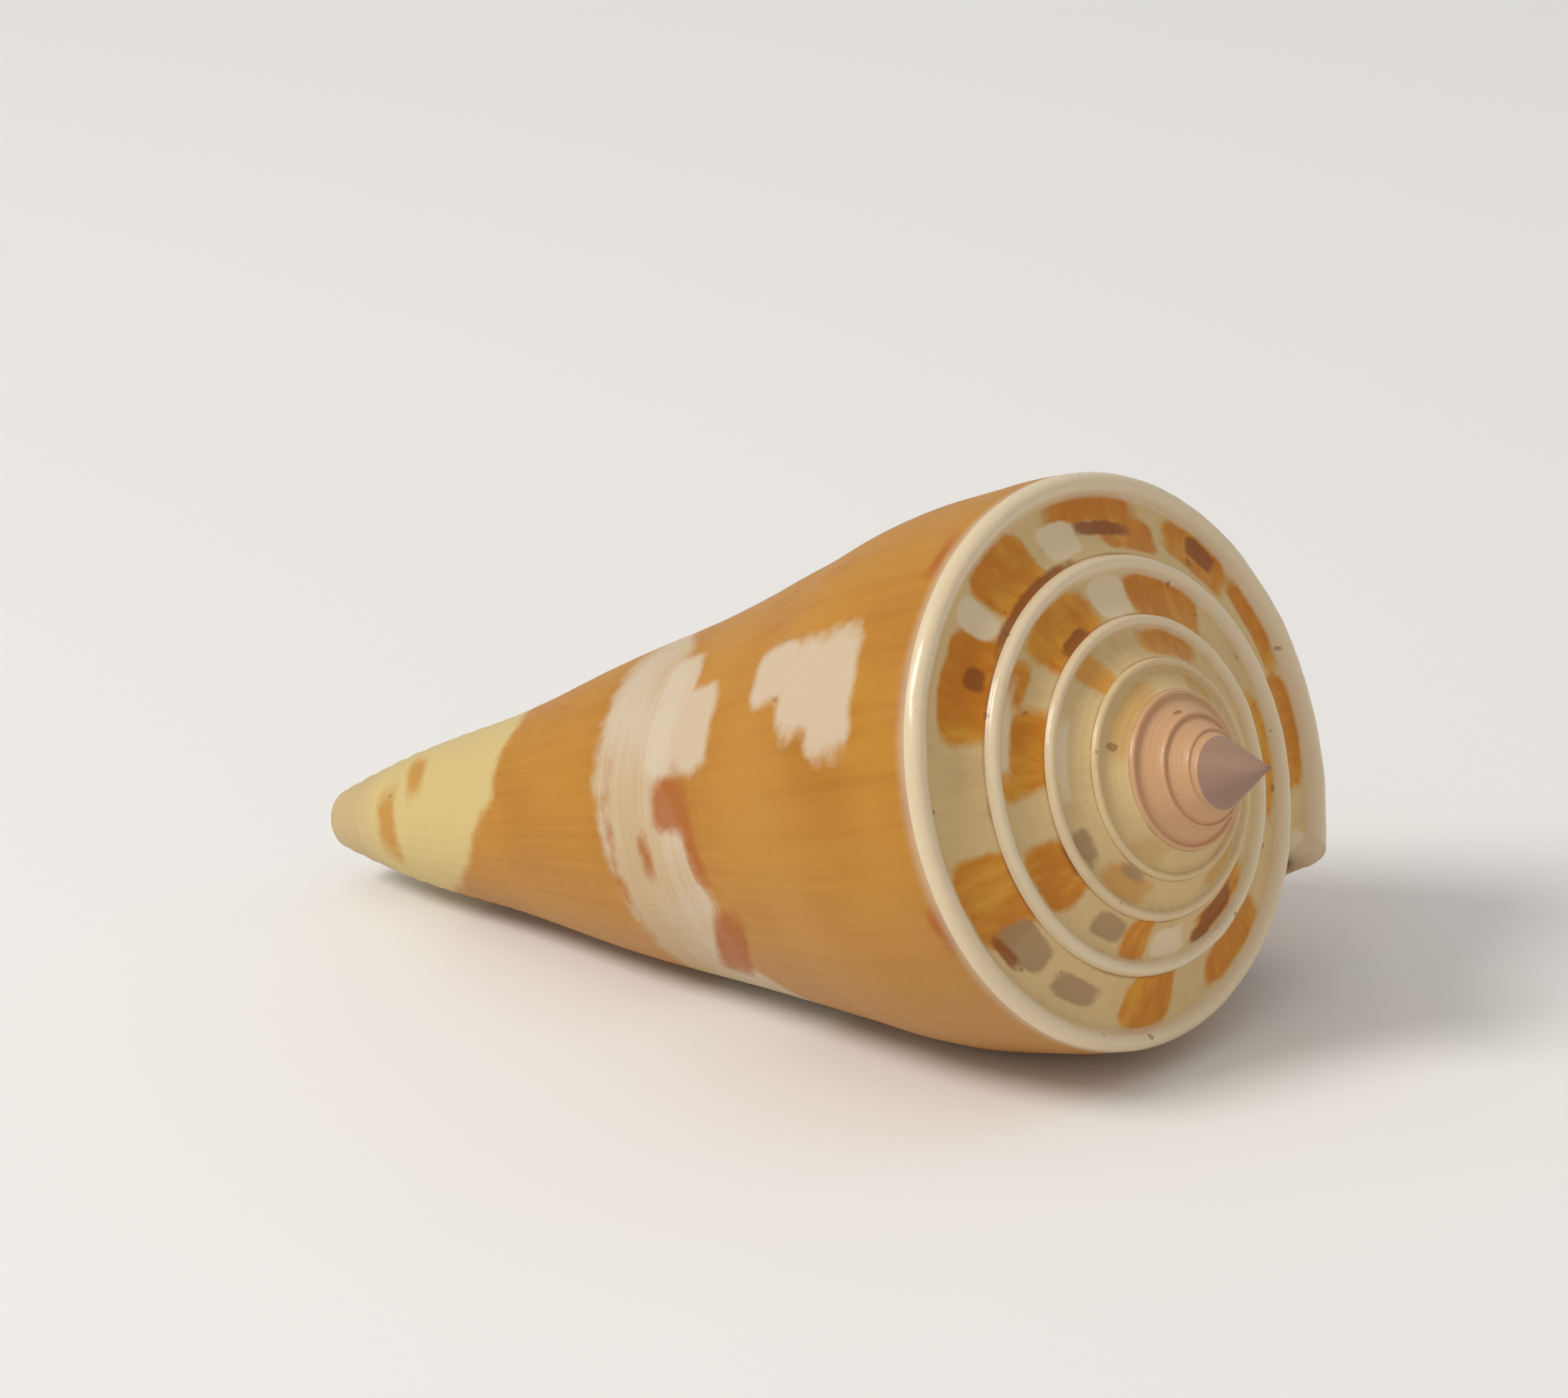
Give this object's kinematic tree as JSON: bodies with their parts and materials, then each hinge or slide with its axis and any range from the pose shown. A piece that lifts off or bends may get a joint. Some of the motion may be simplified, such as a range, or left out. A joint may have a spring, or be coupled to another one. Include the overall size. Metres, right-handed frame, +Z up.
{
  "type": "cone shell",
  "caption": "Cone-shaped sea snail shell with a low stepped spire, a tapering body whorl and a slit mouth along its side.",
  "frame": {"origin": "middle of the lying shell's box, on the floor under it", "axes": "+X towards the spire end, with the shell lying on its mouth and +Z up"},
  "size_m": [0.0594, 0.0292, 0.0274],
  "materials": {
    "shell": "glossy ochre and cream natural shell"
  },
  "bodies": {
    "root": {"shell": "shell"}
  },
  "joints": []
}
